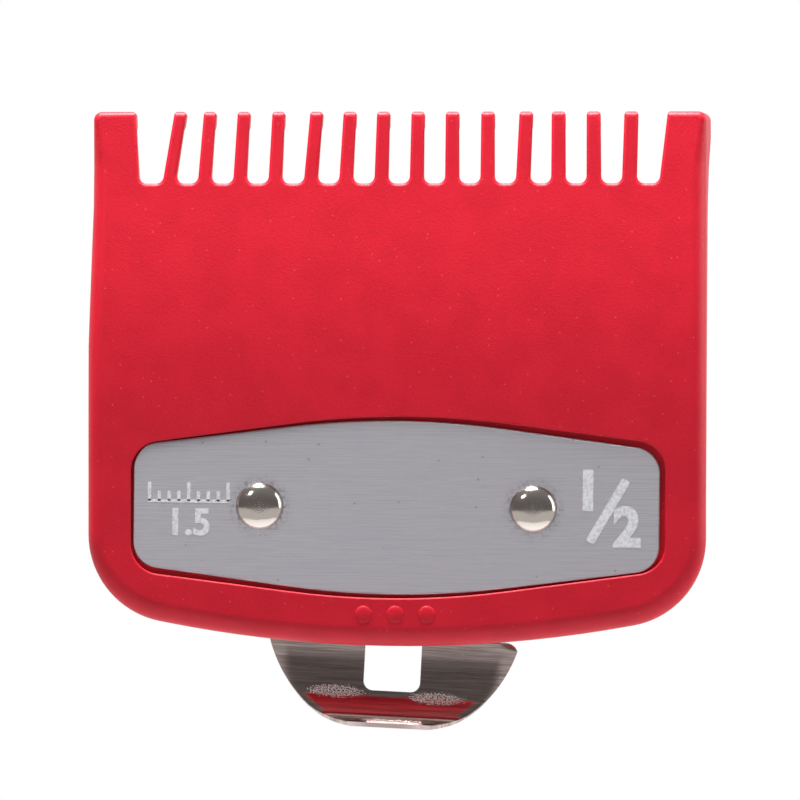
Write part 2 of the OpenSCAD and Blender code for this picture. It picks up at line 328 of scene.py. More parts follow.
def add_node(
    tree: NodeTree,
    kind: str,
    inputs: dict[str | int, object] | Sequence[object] = (),
    out: str | int = 0,
    **settings: object,
) -> NodeSocket | None:
    """Add one node with its settings and links.

    Args:
        tree: The node tree.
        kind: The node's type, without the ShaderNode that all begin with.
        inputs: A value or a socket for each input, in order, or by name or number.
        out: The output to hand on, by name or number.
        settings: The node's own settings.

    Returns:
        The output's socket, or None from a node without outputs.
    """
    node = tree.nodes.new("ShaderNode" + kind)
    for key, value in settings.items():
        setattr(node, key, value)
    for key, value in inputs.items() if isinstance(inputs, dict) else enumerate(inputs):
        if isinstance(value, NodeSocket):
            tree.links.new(value, node.inputs[key])
        else:
            node.inputs[key].default_value = value
    return node.outputs[out] if node.outputs else None


def start_material(name: str) -> tuple[Material, Callable[..., NodeSocket]]:
    """Make an empty node material.

    Args:
        name: The material's name.

    Returns:
        The material, and add_node for its own tree.
    """
    material = bpy.data.materials.new(name)
    material.use_nodes = True
    material.node_tree.nodes.clear()
    return material, partial(add_node, material.node_tree)


# ---- Finishes ----


@dataclass(frozen=True)
class MouldedNylon:
    """Glass-filled nylon from an eroded mould: satin red with a fine grain, specks and soft edges."""

    body: str = "#dd1b32"
    deep: str = "#d6182f"
    speck_pale: str = "#ea6470"
    speck_dark: str = "#a01526"
    roughness: float = 0.45
    grain_mm: float = 0.14
    grain_microns: float = 17.0
    flow_mm: float = 3.2
    flow_microns: float = 4.0
    speck_mm: float = 0.62
    edge_mm: float = 0.12

    def make(self) -> Material:
        """Build the material and return it."""
        material, add = start_material("satin_moulded_nylon")
        place = add("TexCoord", out="Object")
        # The eroded mould's grain, drawn some three times as coarse as the real 0.05 mm so that it shows.
        grain_place = add("Mapping", {"Vector": place, "Scale": in_metres(self.grain_mm)}, **SIZED)
        grain = add("TexNoise", {"Vector": grain_place, "Scale": 1.0, "Detail": 3.0})
        # Slow flow marks, some 3 mm across, shift the colour and the gloss a little.
        flow_place = add("Mapping", {"Vector": place, "Scale": in_metres(self.flow_mm)}, **SIZED)
        flow = add("TexNoise", {"Vector": flow_place, "Scale": 1.0, "Detail": 2.0})
        bands = add("MapRange", (flow, 0.35, 0.65, 0.0, 1.0), **EASED)
        colour = add("Mix", {0: bands, 6: linear(self.body), 7: linear(self.deep)}, 2, **COLOURS)
        # Glass fibre ends and dust: specks about 0.1 mm across, one or two on each square millimetre.
        speck_place = add("Mapping", {"Vector": place, "Scale": in_metres(self.speck_mm)}, **SIZED)
        cells = add("TexVoronoi", {"Vector": speck_place, "Scale": 1.0}, "Distance")
        near = add("MapRange", (cells, 0.08, 0.15, 1.0, 0.0), **EASED)
        kind = add("SeparateColor", (cells.node.outputs["Color"],))
        lit = add("MapRange", (kind, 0.66, 0.74, 0.0, 0.42), **EASED)
        pale = add("Math", (near, lit), operation="MULTIPLY")
        colour = add("Mix", {0: pale, 6: colour, 7: linear(self.speck_pale)}, 2, **COLOURS)
        unlit = add("MapRange", (kind, 0.16, 0.26, 0.42, 0.0), **EASED)
        dark = add("Math", (near, unlit), operation="MULTIPLY")
        colour = add("Mix", {0: dark, 6: colour, 7: linear(self.speck_dark)}, 2, **COLOURS)
        low, high = self.roughness - 0.04, self.roughness + 0.05
        rough = add("MapRange", (grain, 0.3, 0.7, low, high), **EASED)
        soft_edges = add("Bevel", {"Radius": self.edge_mm * MM}, samples=4)
        waves = add("Bump", {"Height": flow, "Distance": self.flow_microns * MICRON, "Normal": soft_edges})
        normal = add("Bump", {"Height": grain, "Distance": self.grain_microns * MICRON, "Normal": waves})
        # Nylon's own IOR, with half the gloss because the eroded grain traps it.
        shader = add(
            "BsdfPrincipled",
            {
                "Base Color": colour,
                "Roughness": rough,
                "IOR": 1.53,
                "Specular IOR Level": 0.28,
                "Normal": normal,
            },
        )
        add("OutputMaterial", {"Surface": shader})
        return material


@dataclass(frozen=True)
class BrushedSteel:
    """Stainless sheet brushed along its length: fine level lines, short in places, with a few pits."""

    pale: str = "#cbc8cf"
    dark: str = "#b6b3bb"
    # The pits' colour, also used for the painted shade round the rivet heads.
    pit_and_shade: str = "#6f6c70"
    roughness: float = 0.44
    fine_mm: tuple[float, float, float] = (5.0, 0.5, 0.085)
    broad_mm: tuple[float, float, float] = (11.0, 2.0, 0.34)
    line_microns: float = 3.0
    pit_mm: float = 1.3
    turn: float = 0.6
    rivets: tuple[tuple[float, float, float], ...] = ()
    rivet_r: float = 1.82

    def make(self) -> Material:
        """Build the material and return it."""
        material, add = start_material("brushed_stainless_steel")
        place = add("TexCoord", out="Object")
        level = (0.0, math.radians(self.turn), 0.0)
        # Strokes as of 240 grit: lines 0.085 mm apart and some 5 mm long, drawn twice as coarse as real ones.
        fine_place = add(
            "Mapping", {"Vector": place, "Rotation": level, "Scale": in_metres(*self.fine_mm)}, **SIZED
        )
        fine = add("TexNoise", {"Vector": fine_place, "Scale": 1.0, "Detail": 3.0})
        broad_place = add(
            "Mapping", {"Vector": place, "Rotation": level, "Scale": in_metres(*self.broad_mm)}, **SIZED
        )
        broad = add("TexNoise", {"Vector": broad_place, "Scale": 1.0, "Detail": 2.0})
        lines = add("Mix", {0: 0.3, 2: fine, 3: broad})
        bands = add("MapRange", (lines, 0.36, 0.62, 0.0, 1.0), **EASED)
        colour = add("Mix", {0: bands, 6: linear(self.dark), 7: linear(self.pale)}, 2, **COLOURS)
        # Pits 0.1 mm across, a few to the centimetre.
        pit_place = add("Mapping", {"Vector": place, "Scale": in_metres(self.pit_mm)}, **SIZED)
        cells = add("TexVoronoi", {"Vector": pit_place, "Scale": 1.0}, "Distance")
        near = add("MapRange", (cells, 0.05, 0.1, 0.5, 0.0), **EASED)
        kind = add("SeparateColor", (cells.node.outputs["Color"],), 1)
        some = add("MapRange", (kind, 0.78, 0.85, 0.0, 1.0), **EASED)
        pits = add("Math", (near, some), operation="MULTIPLY")
        colour = add("Mix", {0: pits, 6: colour, 7: linear(self.pit_and_shade)}, 2, **COLOURS)
        # A ring of dark blots 0.3 mm across round each head, darkest at its rim: partly grime that the
        # riveting left, partly painted shade where the head meets the plate.
        blot_place = add("Mapping", {"Vector": place, "Scale": in_metres(0.3)}, **SIZED)
        blots = add("TexNoise", {"Vector": blot_place, "Scale": 1.0, "Detail": 4.0})
        grime_and_contact_shade = add("MapRange", (blots, 0.45, 0.72, 0.05, 0.75), **EASED)
        rim = self.rivet_r * MM
        for centre in self.rivets:
            far = add("VectorMath", (place, centre), "Value", operation="DISTANCE")
            ring = add("MapRange", (far, rim, rim * 1.5, 1.0, 0.0), **EASED)
            dirt_and_contact_shade = add("Math", (ring, grime_and_contact_shade), operation="MULTIPLY")
            colour = add("Mix", {0: dirt_and_contact_shade, 6: colour, 7: linear(self.pit_and_shade)}, 2, **COLOURS)
        high, low = self.roughness + 0.05, self.roughness - 0.06
        shader = add(
            "BsdfPrincipled",
            {
                "Base Color": colour,
                "Metallic": 1.0,
                "Roughness": add("MapRange", (lines, 0.3, 0.7, high, low), **EASED),
                "Anisotropic": 0.75,
                "Anisotropic Rotation": 0.25,
                "Tangent": add("Tangent", direction_type="UV_MAP"),
                "Normal": add("Bump", {"Height": lines, "Distance": self.line_microns * MICRON}),
            },
        )
        add("OutputMaterial", {"Surface": shader})
        return material


@dataclass(frozen=True)
class PolishedNickel:
    """Nickel-plated steel, headed in a polished die: a warm mirror with fine rings on its flat crown."""

    body: str = "#e8dfd7"
    roughness: float = 0.13
    ring_mm: float = 0.16
    dent_mm: float = 0.22
    dent_microns: float = 5.0

    def make(self) -> Material:
        """Build the material and return it."""
        material, add = start_material("polished_nickel_plate")
        place = add("TexCoord", out="Object")
        radius = add("Attribute", out="Fac", attribute_name="from_axis")
        # Rings that the die's turning marks left on the crown, 0.16 mm apart.
        turns = add("Math", (radius, math.tau / self.ring_mm), operation="MULTIPLY")
        wave = add("Math", (turns,), operation="SINE")
        crown = add("MapRange", (radius, 0.75, 1.0, 1.0, 0.0), **EASED)
        dent_place = add("Mapping", {"Vector": place, "Scale": in_metres(self.dent_mm)}, **SIZED)
        dents = add("TexNoise", {"Vector": dent_place, "Scale": 1.0, "Detail": 3.0})
        on_crown = add("Math", (wave, crown), operation="MULTIPLY")
        rings = add("Math", (on_crown, 0.3, dents), operation="MULTIPLY_ADD")
        # Specks of the die's wear, 0.09 mm across, dull the crown in places.
        speck_place = add("Mapping", {"Vector": place, "Scale": in_metres(0.09)}, **SIZED)
        specks = add("TexNoise", {"Vector": speck_place, "Scale": 1.0, "Detail": 2.0})
        worn = add("MapRange", (specks, 0.6, 0.72, 0.0, 0.28), **EASED)
        rough = add("Math", (worn, crown, self.roughness), operation="MULTIPLY_ADD")
        normal = add("Bump", {"Height": rings, "Distance": self.dent_microns * MICRON})
        shader = add(
            "BsdfPrincipled",
            {"Base Color": linear(self.body), "Metallic": 1.0, "Roughness": rough, "Normal": normal},
        )
        add("OutputMaterial", {"Surface": shader})
        return material


@dataclass(frozen=True)
class RolledSpringSteel:
    """Cold-rolled spring strip: a dark mirror with level roll lines, and specks painted white above its lip
    as glints.
    """

    body: str = "#d8c7c3"
    dull: str = "#a5938f"
    # The white that paints the glints on the strip.
    glint_white: str = "#f2efec"
    roughness: float = 0.17
    fine_mm: tuple[float, float, float] = (3.5, 0.06, 1.0)
    broad_mm: tuple[float, float, float] = (9.0, 0.3, 1.0)
    line_microns: float = 1.3
    span_mm: float = 40.0
    # Where the two patches of painted glints lie on the strip, and their sizes.
    glint_mm: float = 25.9
    glint_high: float = 0.62
    glint_patches: tuple[tuple[float, float, float], ...] = ((-4.4, 2.6, -0.1), (3.6, 2.5, 0.15))

    def make(self) -> Material:
        """Build the material and return it."""
        material, add = start_material("rolled_spring_steel")
        # The strip's own coordinates, so that the lines stay on it as it bends: X across and Y along it.
        sheet = add("TexCoord", out="UV")
        place = add("Mapping", {"Vector": sheet, "Scale": [self.span_mm * MM] * 3})
        # Roll lines 0.06 mm apart, drawn three times as coarse as real ones, and broader streaks of gloss.
        fine_place = add("Mapping", {"Vector": place, "Scale": in_metres(*self.fine_mm)}, **SIZED)
        fine = add("TexNoise", {"Vector": fine_place, "Scale": 1.0, "Detail": 3.0})
        broad_place = add("Mapping", {"Vector": place, "Scale": in_metres(*self.broad_mm)}, **SIZED)
        broad = add("TexNoise", {"Vector": broad_place, "Scale": 1.0, "Detail": 2.0})
        lines = add("Mix", {0: 0.4, 2: fine, 3: broad})
        bands = add("MapRange", (lines, 0.38, 0.62, 0.0, 1.0), **EASED)
        colour = add("Mix", {0: bands, 6: linear(self.dull), 7: linear(self.body)}, 2, **COLOURS)
        # Two patches of painted glints: specks 0.12 mm across, painted white on the strip above its bend in
        # place of glints of light. They go right through the sheet's pattern, so they are on its back as
        # well.
        speck_place = add("Mapping", {"Vector": place, "Scale": in_metres(0.13, 0.1, 1.0)}, **SIZED)
        specks = add("TexNoise", {"Vector": speck_place, "Scale": 1.0, "Detail": 2.0})
        glint_patch_mask: NodeSocket | float = 0.0
        for middle, half, lower in self.glint_patches:
            centre = ((middle + self.span_mm / 2) * MM, (self.glint_mm + lower) * MM, 0.0)
            size = in_metres(half, self.glint_high, 1.0)
            from_middle = add("Mapping", {"Vector": place, "Location": centre, "Scale": size}, **SIZED)
            flat = add("VectorMath", (from_middle, (1.0, 1.0, 0.0)), operation="MULTIPLY")
            far = add("VectorMath", (flat,), "Value", operation="LENGTH")
            inside = add("MapRange", (far, 0.6, 1.25, 1.0, 0.0), **EASED)
            glint_patch_mask = add("Math", (inside, glint_patch_mask), operation="MAXIMUM")
        # Fewer specks pass as a patch thins out towards its rim.
        edge = add("MapRange", (glint_patch_mask, 0.0, 1.0, 0.75, 0.47))
        over = add("Math", (specks, edge), operation="SUBTRACT")
        painted_glint = add("MapRange", (over, 0.0, 0.04, 0.0, 1.0), **EASED)
        colour = add("Mix", {0: painted_glint, 6: colour, 7: linear(self.glint_white)}, 2, **COLOURS)
        even = add("MapRange", (lines, 0.35, 0.65, self.roughness + 0.05, self.roughness - 0.04))
        rough = add("Math", (painted_glint, 0.42, even), operation="MULTIPLY_ADD")
        # The painted glints are made less of a mirror, so their white shows as a painted highlight.
        metal = add("Math", (painted_glint, -0.75, 1.0), operation="MULTIPLY_ADD")
        bumps = add("Math", (painted_glint, 3.0, lines), operation="MULTIPLY_ADD")
        normal = add("Bump", {"Height": bumps, "Distance": self.line_microns * MICRON})
        shader = add(
            "BsdfPrincipled",
            {"Base Color": colour, "Metallic": metal, "Roughness": rough, "Normal": normal},
        )
        add("OutputMaterial", {"Surface": shader})
        return material


@dataclass(frozen=True)
class EtchedMark:
    """Acid-etched steel with white filler: a matt, mottled white."""

    pale: str = "#f4f4f8"
    worn: str = "#dcdbe0"
    mottle_mm: float = 0.2

    def make(self) -> Material:
        """Build the material and return it."""
        material, add = start_material("etched_white_filler")
        place = add("TexCoord", out="Object")
        grain_place = add("Mapping", {"Vector": place, "Scale": in_metres(self.mottle_mm)}, **SIZED)
        grains = add("TexNoise", {"Vector": grain_place, "Scale": 1.0, "Detail": 3.0})
        worn = add("MapRange", (grains, 0.42, 0.6, 0.0, 1.0), **EASED)
        colour = add("Mix", {0: worn, 6: linear(self.pale), 7: linear(self.worn)}, 2, **COLOURS)
        normal = add("Bump", {"Height": grains, "Distance": 6.0 * MICRON})
        shader = add("BsdfPrincipled", {"Base Color": colour, "Roughness": 0.6, "Normal": normal})
        add("OutputMaterial", {"Surface": shader})
        return material


@dataclass(frozen=True)
class StudioPaper:
    """Matt pale paper for the floor, with fibres 1.5 mm long."""

    body: str = "#cacaca"

    def make(self) -> Material:
        """Build the material and return it."""
        material, add = start_material("matt_pale_paper")
        place = add("TexCoord", out="Object")
        fibre_place = add("Mapping", {"Vector": place, "Scale": in_metres(1.5)}, **SIZED)
        fibres = add("TexNoise", {"Vector": fibre_place, "Scale": 1.0, "Detail": 2.0})
        normal = add("Bump", {"Height": fibres, "Distance": 20.0 * MICRON})
        shader = add("BsdfPrincipled", {"Base Color": linear(self.body), "Roughness": 0.9, "Normal": normal})
        add("OutputMaterial", {"Surface": shader})
        return material


# ---- The object ----


@dataclass
class Piece:
    """What all pieces share: dressing, riding and reporting."""

    def dress(
        self,
        piece: Object,
        material: Material,
        body: str | None,
        nodes: Sequence[str],
        slot: Slot | None,
    ) -> Object:
        """Give a finished piece its material, its body and its CAD nodes.

        Args:
            piece: The piece.
            material: Its material.
            body: The CAD body it rides on, or None to attach it to none.
            nodes: The CAD nodes it stands for.
            slot: The record's slot that its finish comes from, if there is one; not used.

        Returns:
            The piece.
        """
        piece.data.materials.clear()
        piece.data.materials.append(material)
        if body is not None:
            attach(piece, body)
        if nodes:
            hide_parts(*nodes)
        LOG.info("%s: %d faces", piece.name, len(piece.data.polygons))
        return piece


@dataclass
class CombMoulding(Piece):
    """The red moulding: panel, teeth, lobes, side walls, hooks, recess and pocket."""

    width: float = 48.8
    height: float = 42.2
    panel_t: float = 4.0
    cut_t: float = 1.5
    bend_start: float = 17.0
    bend_r: float = 108.0
    corner_r: float = 7.1
    bottom_r: float = 100.0
    left_draw: float = 0.33
    foot_skew: float = 0.2
    draft: float = 1.0
    arc_fit: float = 0.98
    left_draw_len: float = 11.0
    teeth: int = 14
    pitch: float = 2.8
    tooth_len: float = 5.7
    gap_r: float = 0.6
    row_x: float = 0.13
    lobe_w: float = 3.85
    lobe_leans: Point = (-0.33, 0.67)
    leans: tuple[float, ...] = (
        *(0.89, 0.42, 0.3, 0.25, 0.46, 0.3, 0.15),
        *(0.08, 0.0, 0.01, 0.24, -0.01, -0.04, 0.15),
    )
    hook_len: float = 1.5
    hook_h: float = 1.6
    hook_slope: float = 0.4
    wall_t: float = 1.2
    wall_h: float = 2.6
    wall_foot: float = 9.0
    wall_radii: tuple[float, float, float] = (1.6, 4, 2)
    wing_h: float = 5.2
    wing_drop: float = 7.4
    wing_rise: float = 3.6
    flap_len: float = 3.5
    flap_t: float = 1.5
    flap_set: float = 0.6
    flap_chamfer: Point = (0.4, 0.3)
    relief_d: float = 0.2
    relief_h: float = 0.35
    pocket_d: float = 1.1
    pocket_gap: float = 0.8
    channel_d: float = 1.7
    channel_z: float = -7.7
    # Looks only: finer tooth widths, the right wing's flare, the draft on the flanks, the rounding of edges
    # and tips, and three plain dots.
    root_w: float = 1.11
    tip_w: float = 1.04
    width_drift: float = 0.012
    side_fillet: float = 1.2
    bottom_fillet: float = 1.6
    tip_fillet: float = 0.45
    tip_corner: float = 0.65
    tip_r: float = 0.3
    tip_clear: float = 0.36
    tip_ladder: tuple[float, ...] = (0.9, 1.4, 2.0, 2.8, 3.6, 4.4)
    tip_fade: Point = (4.4, 4.0)
    foot_fade: Point = (8.6, 6.0)
    wing_flare: Sequence[Point] = ((8.0, 0.0), (13.0, 0.2), (17.0, 0.24), (19.0, 0.38))
    flat_rim: float = 0.4
    flank_draft: float = 0.75
    gap_lip: float = 0.24
    recess_lip: float = 0.13
    front_keep: float = 1.25
    dots_x: tuple[float, float, float] = (-2.6, -0.1, 2.4)
    dots_z: float = -18.6
    dot_profile: tuple[Point, ...] = (
        *((0.7, -3.0), (0.7, -3.98), (0.64, -4.04)),
        *((0.5, -4.075), (0.28, -4.095), (0.05, -4.1)),
    )

    @property
    def bottom_z(self) -> float:
        """Height of the bottom edge."""
        return -self.height / 2

    @property
    def tip_z(self) -> float:
        """Height of the tooth tips."""
        return self.height / 2

    @property
    def bend_z(self) -> float:
        """Height at which the panel starts to bend."""
        return self.bottom_z + self.bend_start

    @property
    def slope(self) -> float:
        """Slope of the panel's straight stretch above its bend, in radians."""
        reach = Vector((self.bend_r - self.panel_t + self.cut_t, self.tip_z - self.bend_z))
        return math.atan2(reach.y, reach.x) - math.acos(min(1.0, self.bend_r / reach.length))

    def thickness(self, z: float) -> float:
        """Thickness of the panel at a height z."""
        bend_end = self.bend_z + self.bend_r * math.sin(self.slope)
        on_arc = min(max(z, self.bend_z), bend_end) - self.bend_z
        thinner = self.bend_r - math.sqrt(self.bend_r**2 - on_arc**2)
        return self.panel_t - thinner - max(0.0, z - bend_end) * math.tan(self.slope)

    def outline(self) -> list[Point]:
        """Outline of the moulding without its gaps."""
        half = self.width / 2
        slope = math.asin((half - self.corner_r) / (self.bottom_r - self.corner_r))
        apex = self.bottom_z - self.bottom_r * (1 / math.cos(slope) - 1)
        bow_end = apex + half * math.tan(slope)
        left, wing_z = -half + self.left_draw, self.tip_z - self.wing_drop
        ladder = [self.tip_z - step for step in self.tip_ladder]
        down = [(left, z, 0.0) for z in ladder]
        down += [(left, wing_z, 0.0), (-half, wing_z - self.left_draw_len, 0.0)]
        up = [(half, z, 0.0) for z in reversed(ladder)]
        # The arcs are a little small, because the skewed edge leaves them less room.
        corner_r, bottom_r = self.arc_fit * self.corner_r, self.arc_fit * self.bottom_r
        corners = [(left, self.tip_z, self.tip_corner), *down, (-half, bow_end + self.foot_skew, corner_r)]
        corners += [(0.0, apex, bottom_r), (half, bow_end - self.foot_skew, corner_r), *up]
        return rounded([*corners, (half, self.tip_z, self.tip_corner)])

    def fillet(self, point: Point) -> float:
        """Radius of the front edge's rounding at a point of the outline."""
        x, z = point
        near_tip = min(max((z - self.tip_z + self.tip_fade[0]) / self.tip_fade[1], 0.0), 1.0)
        near_foot = min(max((self.bottom_z + self.foot_fade[0] - z) / self.foot_fade[1], 0.0), 1.0)
        side = self.side_fillet + (self.bottom_fillet - self.side_fillet) * near_foot
        return side + (self.tip_fillet - side) * near_tip

    def back_x(self, x: float, z: float) -> float:
        """X of a point at the wings' back: the draft draws it in, and the right wing flares out."""
        band = self.corner_r - self.flat_rim
        outwards = min(max((abs(x) - self.width / 2 + self.corner_r) / band, 0.0), 1.0)
        pull = math.tan(math.radians(self.draft)) * (self.panel_t + self.wing_h)
        flare = 0.0
        for (low, before), (high, after) in zip(self.wing_flare, self.wing_flare[1:]):
            if x > 0 and z > low:
                flare = before + (after - before) * min(1.0, (z - low) / (high - low))
        return x - math.copysign(pull * outwards**2, x) + flare * outwards

    def blank(self) -> Object:
        """Loft the moulding's full block, with its front edge rounded all round."""
        outline = self.outline()
        fillets = [self.fillet(p) for p in outline]
        back = [(self.back_x(x, z), z) for x, z in outline]
        rings = [Place().ring(back, self.wing_h)]
        for inwards, left in rounding(8):
            moved = grown(outline, [-r * inwards for r in fillets])
            rings.append(Place().ring(moved, [-self.panel_t + r * left for r in fillets]))
        return loft("comb_moulding", rings)

    def gap_edges(self, i: int) -> tuple[float, float, float, float]:
        """Edges of gap i, to the left of tooth i: root left, root right, tip right, tip left."""
        middle = [self.row_x + (k - (self.teeth - 1) / 2) * self.pitch for k in range(self.teeth)]
        half = self.width / 2 - self.lobe_w
        wider = [self.width_drift * (k - (self.teeth - 1) / 2) / 2 for k in range(self.teeth)]
        if i == 0:
            left = (self.row_x - half, self.row_x - half + self.lobe_leans[0])
        else:
            root = middle[i - 1] + wider[i - 1]
            left = (root + self.root_w / 2, root + self.leans[i - 1] + self.tip_w / 2)
        if i == self.teeth:
            right = (self.row_x + half, self.row_x + half + self.lobe_leans[1])
        else:
            root = middle[i] - wider[i]
            right = (root - self.root_w / 2, root + self.leans[i] - self.tip_w / 2)
        return left[0], right[0], right[1], left[1]

    def cut_gaps(self, piece: Object) -> None:
        """Cut the gaps between the teeth, with rounded lips and tips."""
        root, tip = self.tip_z - self.tooth_len, self.tip_z + 0.01
        far, clear = self.wing_h + 1, self.tip_clear
        for i in range(self.teeth + 1):
            low_left, low_right, right, left = self.gap_edges(i)
            corners = [(low_left, root, self.gap_r), (low_right, root, self.gap_r), (right, tip, self.tip_r)]
            corners += [(right + clear, tip, 0.0), (right + clear, tip + 1, 0.0)]
            corners += [(left - clear, tip + 1, 0.0), (left - clear, tip, 0.0), (left, tip, self.tip_r)]
            rings = flared(Place(), rounded(corners), far, -self.panel_t, self.gap_lip, self.flank_draft)
            combine(piece, loft("gap_cutter", rings))

    def side_cutter(
        self, x_from: float, x_to: float, profile: Sequence[tuple[float, float, float]]
    ) -> Object:
        """Loft a cutter that runs along X, from a profile of [y, z, corner radius]."""
        points = rounded(profile)
        return loft("side_cutter", [[Vector((x, y, z)) * MM for y, z in points] for x in (x_from, x_to)])

    def hollow_inside(self, piece: Object) -> None:
        """Cut the inside down to the blade seat, which leaves the hooks, the flaps and the side walls."""
        half, far, low, high = self.width / 2, self.wing_h + 1, self.bottom_z - 1, self.tip_z + 1
        hook_z, flap_z = self.tip_z - self.hook_len, self.tip_z - self.flap_len
        slope_z, relief_z = hook_z + self.hook_slope, flap_z - self.relief_h
        under, over = self.wing_h - self.flap_t, self.wing_h + 0.01
        inner, lobe = half - self.wall_t, half - self.lobe_w + self.flap_set
        beyond = [(far, high, 0), (far, low, 0)]
        middle = [(0, low, 0), (0, hook_z, 0), (self.hook_h, slope_z, 0.15), (self.hook_h, high, 0), *beyond]
        combine(piece, self.side_cutter(-lobe - 0.01, lobe + 0.01, middle))
        corner = [(0, low, 0), (0, relief_z, 0), (-self.relief_d, relief_z, 0), (-self.relief_d, hook_z, 0)]
        corner += [(0, hook_z, 0), (self.hook_h, slope_z, 0), (under, slope_z, 0.3)]
        corner += [(under, flap_z + self.flap_chamfer[1], 0), (under + self.flap_chamfer[0], flap_z, 0)]
        corner += [(over, flap_z, 0), (over, high, 0), *beyond]
        wing_z, foot_z = self.tip_z - self.wing_drop, self.bottom_z + self.wall_foot
        foot_r, wing_r, rise_r = self.wall_radii
        wall = [(0, low, 0), (0, foot_z, 0), (self.wall_h, foot_z, foot_r), (self.wall_h, wing_z, wing_r)]
        wall += [(over, wing_z + self.wing_rise, rise_r), (over, high, 0), *beyond]
        for side in (-1, 1):
            combine(piece, self.side_cutter(side * (lobe - 0.01), side * inner, corner))
            combine(piece, self.side_cutter(side * (inner - 0.02), side * (half + 1), wall))

    def cut_pockets(self, piece: Object, plate: "BadgePlate", clip: "SpringClip") -> None:
        """Cut the plate's recess outside, and the clip's pocket, its channel and the rivet holes inside."""
        recess = Place(plate.recess_x, plate.place.z)
        outline = plate.outline(plate.recess_gap)
        rings = flared(recess, outline, -self.panel_t + plate.recess_d, -self.panel_t, self.recess_lip)
        combine(piece, loft("recess_cutter", rings))
        gap, foot = self.pocket_gap, self.channel_z
        wide, narrow = clip.base_w / 2 + gap, clip.riser_w / 2 + gap
        shoulder, top = clip.base_shoulder - gap, clip.base_top + gap
        corners = [(-narrow, foot, 0), (narrow, foot, 0), (narrow, shoulder, 0.8), (wide, shoulder, 2)]
        corners += [(wide, top, 2), (-wide, top, 2), (-wide, shoulder, 2), (-narrow, shoulder, 0.8)]
        pocket = rounded(corners)
        place = Place(clip.place.x, clip.place.z)
        combine(piece, loft("pocket_cutter", [place.ring(pocket, y) for y in (-self.pocket_d, 1.0)]))
        low, head = self.bottom_z - 1 - place.z, foot + 0.01
        channel = [(-narrow, low), (narrow, low), (narrow, head), (-narrow, head)]
        combine(piece, loft("channel_cutter", [place.ring(channel, y) for y in (-self.channel_d, 1.0)]))
        plate.punch_rivet_holes(piece, -self.panel_t - 1, 1.0)

    def add_dots(self, piece: Object) -> None:
        """Weld three low round dots on below the plate, as a plain stand-in for moulded lettering."""
        for x in self.dots_x:
            rings = [Place(x, self.dots_z).ring(circle(r, 36), y) for r, y in self.dot_profile]
            combine(piece, loft("dot", rings), "UNION")

    def taper(self, piece: Object) -> None:
        """Thin the panel towards the tips, with the rounding of its front edges kept."""
        steps = 15
        bend_end = self.bend_z + self.bend_r * math.sin(self.slope)
        levels = [self.bend_z + (bend_end - self.bend_z) * k / steps for k in range(steps + 1)]
        slice_across(piece, levels, (0, 0, 1))
        keep = self.front_keep
        for vertex in piece.data.vertices:
            y, t = vertex.co.y / MM, self.thickness(vertex.co.z / MM)
            if y < -self.panel_t + keep:
                y += self.panel_t - t
            elif y < 0:
                y *= (t - keep) / (self.panel_t - keep)
            vertex.co.y = y * MM

    def build(
        self, material: Material, plate: "BadgePlate", clip: "SpringClip"
    ) -> Object:
        """Model the moulding.

        Args:
            material: Its material.
            plate: The badge plate, for its recess and holes.
            clip: The spring clip, for its pocket.

        Returns:
            The piece.
        """
        piece = self.blank()
        self.hollow_inside(piece)
        self.cut_gaps(piece)
        self.cut_pockets(piece, plate, clip)
        self.add_dots(piece)
        self.taper(piece)
        smooth(piece)
        return self.dress(piece, material, "root", ["comb_body"], Slot.PLASTIC)


@dataclass
class BadgePlate(Piece):
    """The brushed plate, with its etched marks."""

    width: float = 41.6
    height: float = 13.74
    flank: float = 7.4
    thickness: float = 0.5
    corner_r: float = 2.1
    crown_r: float = 66.0
    # Looks only: the stamped edge's rounding.
    edge_r: float = 0.16
    recess_gap: float = 0.28
    recess_d: float = 0.6
    recess_x: float = 0.12
    front_y: float = -3.9
    rivet_spacing: float = 21.6
    hole_r: float = 1.15
    uv_span: float = 60.0
    place: Place = Place(0.0, -10.19, 0.6)

    def outline(self, gap: float = 0.0) -> list[Point]:
        """Outline of the plate, grown by a gap."""
        slope = math.radians(self.flank)
        apex = self.height / 2 + gap + self.crown_r * (1 / math.cos(slope) - 1)
        end_x = self.width / 2 + gap
        end_z = apex - end_x * math.tan(slope)
        r = self.corner_r + gap
        return rounded(
            [(-end_x, -end_z, r), (0, -apex, self.crown_r), (end_x, -end_z, r)]
            + [(end_x, end_z, r), (0, apex, self.crown_r), (-end_x, end_z, r)]
        )

    def rivet_centre(self, side: Side, y: float) -> Vector:
        """Middle of one rivet at a depth y, in metres."""
        return self.place.put((side.value * self.rivet_spacing / 2, 0), y)

    def punch_rivet_holes(self, piece: Object, near_y: float, far_y: float) -> None:
        """Punch both rivet holes through a piece, from one depth to another."""
        for side in Side:
            middle = self.rivet_centre(side, 0) / MM
            hole = Place(middle.x, middle.z)
            cutter = loft("hole_cutter", [hole.ring(circle(self.hole_r, 48), y) for y in (near_y, far_y)])
            combine(piece, cutter)

    def build(self, material: Material) -> Object:
        """Model the plate, with its stamped edge rounded in front and its rivet holes punched."""
        outline = self.outline()
        rings = [self.place.ring(outline, self.front_y + self.thickness)]
        for inwards, left in rounding(4):
            moved = grown(outline, -self.edge_r * inwards)
            rings.append(self.place.ring(moved, self.front_y + self.edge_r * left))
        piece = loft("stamped_plate", rings)
        self.punch_rivet_holes(piece, self.front_y - 1, self.front_y + 1)
        lay_uv(piece, lambda co: (co.x / MM / self.uv_span + 0.5, co.z / MM / self.uv_span + 0.5))
        smooth(piece)
        return self.dress(piece, material, "root", ["badge_plate"], Slot.PLATE)


